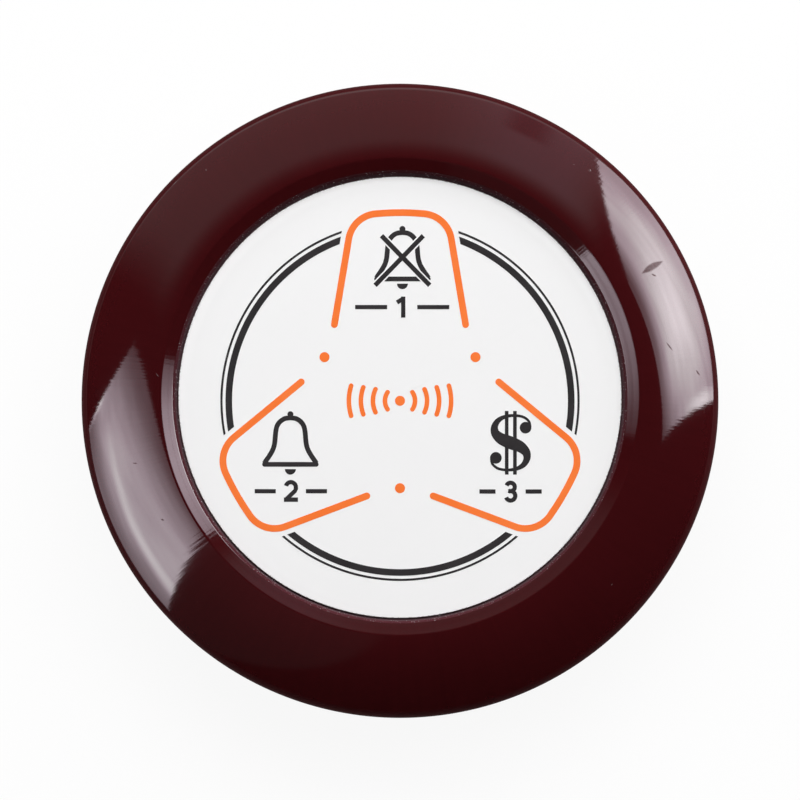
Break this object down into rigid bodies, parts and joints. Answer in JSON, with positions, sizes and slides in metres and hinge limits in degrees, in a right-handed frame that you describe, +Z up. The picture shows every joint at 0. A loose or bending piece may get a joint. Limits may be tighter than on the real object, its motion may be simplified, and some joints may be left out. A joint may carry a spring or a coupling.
{
  "type": "table call button",
  "caption": "Round free-standing table call button: glossy dark case, recessed white film over push keys, coin-slot battery door underneath.",
  "frame": {"origin": "on the table, under the middle of the button", "axes": "+Z up; +Y from the middle to the first key, the one with the crossed bell; +X to the right"},
  "size_m": [0.09, 0.09, 0.0184],
  "materials": {
    "burgundy_case": "dark burgundy moulded ABS, polished",
    "white_film": "white printed film, matte, dark grey and orange print",
    "clear_adhesive": "double-sided adhesive sheet",
    "black_rubber": "black rubber, matte",
    "zinc_steel": "zinc-plated steel",
    "black_plastic": "black moulded plastic",
    "tinned_steel": "tin-plated steel",
    "spring_steel": "nickel-plated spring steel",
    "white_keys": "natural white ABS",
    "green_board": "green solder mask on glass fibre",
    "copper_wire": "enamelled copper wire",
    "red_lens": "red tinted epoxy"
  },
  "bodies": {
    "housing": {"upper_cover": "burgundy_case", "lower_cover": "burgundy_case", "overlay_film": "white_film", "film_adhesive": "clear_adhesive", "case_gasket": "black_rubber", "rubber_feet": "black_rubber", "case_screws": "zinc_steel", "board_screws": "zinc_steel", "switch_bases": "black_plastic", "switch_plates": "tinned_steel", "switch_domes": "spring_steel", "circuit_board": "green_board", "radio_chip": "black_plastic", "crystal_can": "tinned_steel", "antenna_loop": "copper_wire", "status_led": "red_lens", "small_parts": "black_plastic", "coin_cell": "spring_steel", "positive_contact": "spring_steel", "negative_contact": "spring_steel"},
    "clear_key": {"clear_key": "white_keys", "clear_stem": "black_plastic"},
    "call_key": {"call_key": "white_keys", "call_stem": "black_plastic"},
    "bill_key": {"bill_key": "white_keys", "bill_stem": "black_plastic"},
    "battery_door": {"battery_door": "burgundy_case", "door_seal": "black_rubber"}
  },
  "joints": [
    {"name": "clear_press", "type": "slide", "parent": "housing", "child": "clear_key", "axis": [0, 0, -1], "range_m": [0, 0.00045], "stiffness_N_per_m": 3000, "springref_m": -0.0001, "deforming": ["overlay_film", "switch_domes"]},
    {"name": "call_press", "type": "slide", "parent": "housing", "child": "call_key", "axis": [0, 0, -1], "range_m": [0, 0.00045], "stiffness_N_per_m": 3000, "springref_m": -0.0001, "deforming": ["overlay_film", "switch_domes"]},
    {"name": "bill_press", "type": "slide", "parent": "housing", "child": "bill_key", "axis": [0, 0, -1], "range_m": [0, 0.00045], "stiffness_N_per_m": 3000, "springref_m": -0.0001, "deforming": ["overlay_film", "switch_domes"]},
    {"name": "door_twist", "type": "hinge", "parent": "housing", "child": "battery_door", "pos_m": [0, 0, 0.0008], "axis": [0, 0, -1], "range_deg": [0, 50]}
  ]
}
